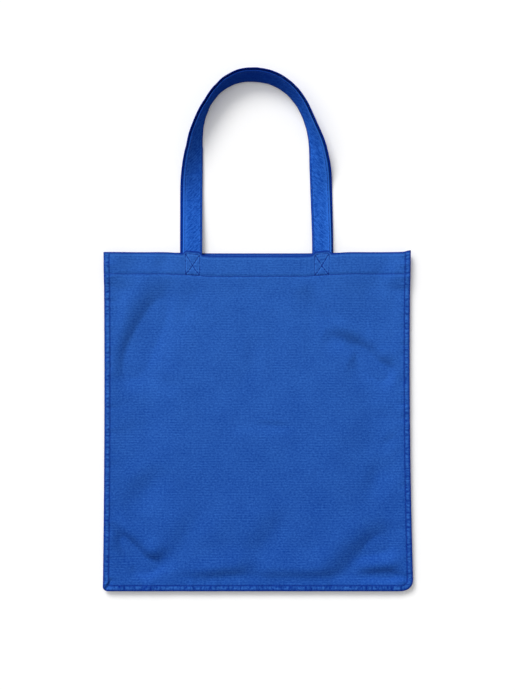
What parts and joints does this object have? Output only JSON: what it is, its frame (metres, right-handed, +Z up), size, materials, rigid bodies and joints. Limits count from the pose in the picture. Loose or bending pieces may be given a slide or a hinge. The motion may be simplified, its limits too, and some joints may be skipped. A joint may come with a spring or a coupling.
{
  "type": "non-woven shopping bag",
  "caption": "Flat open-topped shopping bag of folded and sewn non-woven fabric, lying on its back with two long strap handles looped above the mouth.",
  "frame": {"origin": "on the table under the middle of the whole bag, handles included", "axes": "+X towards the right side seam, +Y from the bottom seam to the handles, +Z up from the table to the front panel"},
  "size_m": [0.384, 0.6454, 0.026],
  "materials": {
    "panel_fabric": "royal blue spun-bonded non-woven, finely embossed, low sheen",
    "handle_fabric": "the same non-woven, folded double and pressed",
    "sewing_thread": "blue polyester sewing thread, a little darker than the fabric"
  },
  "bodies": {
    "root": {"front_panel": "panel_fabric", "back_panel": "panel_fabric", "front_handle": "handle_fabric", "back_handle": "handle_fabric", "front_seam_thread": "sewing_thread", "front_hem_thread": "sewing_thread", "front_left_box_thread": "sewing_thread", "front_right_box_thread": "sewing_thread", "back_seam_thread": "sewing_thread", "back_hem_thread": "sewing_thread", "back_left_box_thread": "sewing_thread", "back_right_box_thread": "sewing_thread"}
  },
  "joints": []
}
